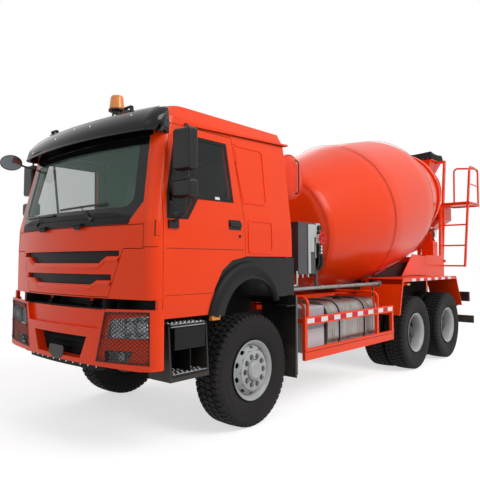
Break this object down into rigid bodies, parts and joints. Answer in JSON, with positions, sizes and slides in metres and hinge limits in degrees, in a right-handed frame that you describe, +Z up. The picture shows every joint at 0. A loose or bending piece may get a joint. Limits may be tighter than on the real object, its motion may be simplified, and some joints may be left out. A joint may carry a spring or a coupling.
{
  "type": "concrete mixer truck",
  "caption": "Truck with a tilting forward cab and a sloped, slowly turning concrete drum, with a filling hopper, a chute and a ladder at its rear.",
  "frame": {"origin": "on the ground under the middle of the truck's box", "axes": "+Z up, -Y the front of the truck, +X the truck's left side"},
  "size_m": [2.89, 9.16, 3.95],
  "materials": {
    "orange_paint": "gloss",
    "black_paint": "satin",
    "black_plastic": "grained",
    "smoked_plastic": "gloss",
    "clear_glass": "clear",
    "lamp_glass": "clear",
    "amber_lens": "gloss",
    "tyre_rubber": "matte",
    "rubber": "matte",
    "rim_silver": "satin",
    "bare_aluminium": "satin",
    "cast_steel": "rough",
    "grey_paint": "satin",
    "cab_trim": "grained"
  },
  "bodies": {
    "chassis": {"chassis_frame": "black_paint", "front_axle": "cast_steel", "leaf_springs": "cast_steel", "drive_axles": "cast_steel", "powertrain": "cast_steel", "front_bumper": "orange_paint", "headlamps": "lamp_glass", "front_guards": "black_plastic", "fuel_tank": "bare_aluminium", "silencer": "cast_steel", "side_guards": "orange_paint", "mixer_subframe": "black_paint", "drum_drive": "black_paint", "rear_pedestal": "orange_paint", "rear_mudguards": "orange_paint", "charge_hopper": "orange_paint", "hopper_rim": "rubber", "discharge_funnel": "orange_paint", "ladder": "orange_paint", "water_tank": "orange_paint", "oil_cooler": "grey_paint", "rear_bar": "orange_paint"},
    "cab": {"cab_shell": "orange_paint", "windscreen": "clear_glass", "sun_visor": "smoked_plastic", "cab_interior": "cab_trim", "steering_wheel": "cab_trim", "beacon": "amber_lens", "wheel_arches": "black_plastic", "front_mirror": "black_plastic"},
    "flap": {"front_flap": "orange_paint", "grille_mesh": "black_plastic"},
    "door_left": {"door_left": "orange_paint", "door_glass_left": "clear_glass", "mirror_left": "black_plastic"},
    "door_right": {"door_right": "orange_paint", "door_glass_right": "clear_glass", "mirror_right": "black_plastic"},
    "knuckle_left": {"knuckle_left": "cast_steel"},
    "knuckle_right": {"knuckle_right": "cast_steel"},
    "tie_rod": {"tie_rod": "cast_steel"},
    "wheel_front_left": {"rim_front_left": "rim_silver", "tyre_front_left": "tyre_rubber"},
    "wheel_front_right": {"rim_front_right": "rim_silver", "tyre_front_right": "tyre_rubber"},
    "wheels_mid_left": {"rims_mid_left": "rim_silver", "tyres_mid_left": "tyre_rubber"},
    "wheels_mid_right": {"rims_mid_right": "rim_silver", "tyres_mid_right": "tyre_rubber"},
    "wheels_rear_left": {"rims_rear_left": "rim_silver", "tyres_rear_left": "tyre_rubber"},
    "wheels_rear_right": {"rims_rear_right": "rim_silver", "tyres_rear_right": "tyre_rubber"},
    "drum": {"mixing_drum": "orange_paint"},
    "roller_left": {"roller_left": "cast_steel"},
    "roller_right": {"roller_right": "cast_steel"},
    "chute_swivel": {"chute_swivel": "orange_paint"},
    "main_chute": {"main_chute": "orange_paint"}
  },
  "joints": [
    {"name": "cab_tilt", "type": "hinge", "parent": "chassis", "child": "cab", "pos_m": [0, -4.44, 1.205], "axis": [1, 0, 0], "range_deg": [0, 55]},
    {"name": "flap_lift", "type": "hinge", "parent": "cab", "child": "flap", "pos_m": [0, -4.57, 1.968], "axis": [-1, 0, 0], "range_deg": [0, 75]},
    {"name": "door_left_open", "type": "hinge", "parent": "cab", "child": "door_left", "pos_m": [1.2, -4.282, 1.9], "axis": [0, 0, -1], "range_deg": [0, 70]},
    {"name": "door_right_open", "type": "hinge", "parent": "cab", "child": "door_right", "pos_m": [-1.2, -4.282, 1.9], "axis": [0, 0, 1], "range_deg": [0, 70]},
    {"name": "steer_left", "type": "hinge", "parent": "chassis", "child": "knuckle_left", "pos_m": [0.88, -3.071, 0.561], "axis": [0, 0, 1], "range_deg": [-38, 38]},
    {"name": "steer_right", "type": "hinge", "parent": "chassis", "child": "knuckle_right", "pos_m": [-0.88, -3.071, 0.561], "axis": [0, 0, 1], "range_deg": [-38, 38]},
    {"name": "tie_rod_swing", "type": "hinge", "parent": "knuckle_left", "child": "tie_rod", "pos_m": [0.88, -2.921, 0.456], "axis": [0, 0, 1], "range_deg": [-38, 38]},
    {"name": "spin_front_left", "type": "hinge", "parent": "knuckle_left", "child": "wheel_front_left", "pos_m": [1.02, -3.071, 0.561], "axis": [1, 0, 0], "continuous": true},
    {"name": "spin_front_right", "type": "hinge", "parent": "knuckle_right", "child": "wheel_front_right", "pos_m": [-1.02, -3.071, 0.561], "axis": [1, 0, 0], "continuous": true},
    {"name": "spin_mid_left", "type": "hinge", "parent": "chassis", "child": "wheels_mid_left", "pos_m": [0.915, 0.836, 0.561], "axis": [1, 0, 0], "continuous": true},
    {"name": "spin_mid_right", "type": "hinge", "parent": "chassis", "child": "wheels_mid_right", "pos_m": [-0.915, 0.836, 0.561], "axis": [1, 0, 0], "continuous": true},
    {"name": "spin_rear_left", "type": "hinge", "parent": "chassis", "child": "wheels_rear_left", "pos_m": [0.915, 2.186, 0.561], "axis": [1, 0, 0], "continuous": true},
    {"name": "spin_rear_right", "type": "hinge", "parent": "chassis", "child": "wheels_rear_right", "pos_m": [-0.915, 2.186, 0.561], "axis": [1, 0, 0], "continuous": true},
    {"name": "drum_spin", "type": "hinge", "parent": "chassis", "child": "drum", "pos_m": [0, -1.085, 2.094], "axis": [0, 0.9767, 0.2147], "continuous": true},
    {"name": "roller_left_spin", "type": "hinge", "parent": "chassis", "child": "roller_left", "pos_m": [0.55941, 3.18858, 2.21561], "axis": [0, 0.9767, 0.2147], "continuous": true},
    {"name": "roller_right_spin", "type": "hinge", "parent": "chassis", "child": "roller_right", "pos_m": [-0.55941, 3.18858, 2.21561], "axis": [0, 0.9767, 0.2147], "continuous": true},
    {"name": "chute_swing", "type": "hinge", "parent": "chassis", "child": "chute_swivel", "pos_m": [0, 4.295, 1.7], "axis": [0, 0, -1], "range_deg": [0, 180]},
    {"name": "chute_tilt", "type": "hinge", "parent": "chute_swivel", "child": "main_chute", "pos_m": [-0.06, 4.295, 1.9], "axis": [0, -1, 0], "range_deg": [-30, 25]}
  ],
  "couplings": [
    {"joint": "steer_right", "follows": "steer_left", "ratio": 1},
    {"joint": "tie_rod_swing", "follows": "steer_left", "ratio": -1},
    {"joint": "roller_left_spin", "follows": "drum_spin", "ratio": -6.8},
    {"joint": "roller_right_spin", "follows": "drum_spin", "ratio": -6.8}
  ]
}
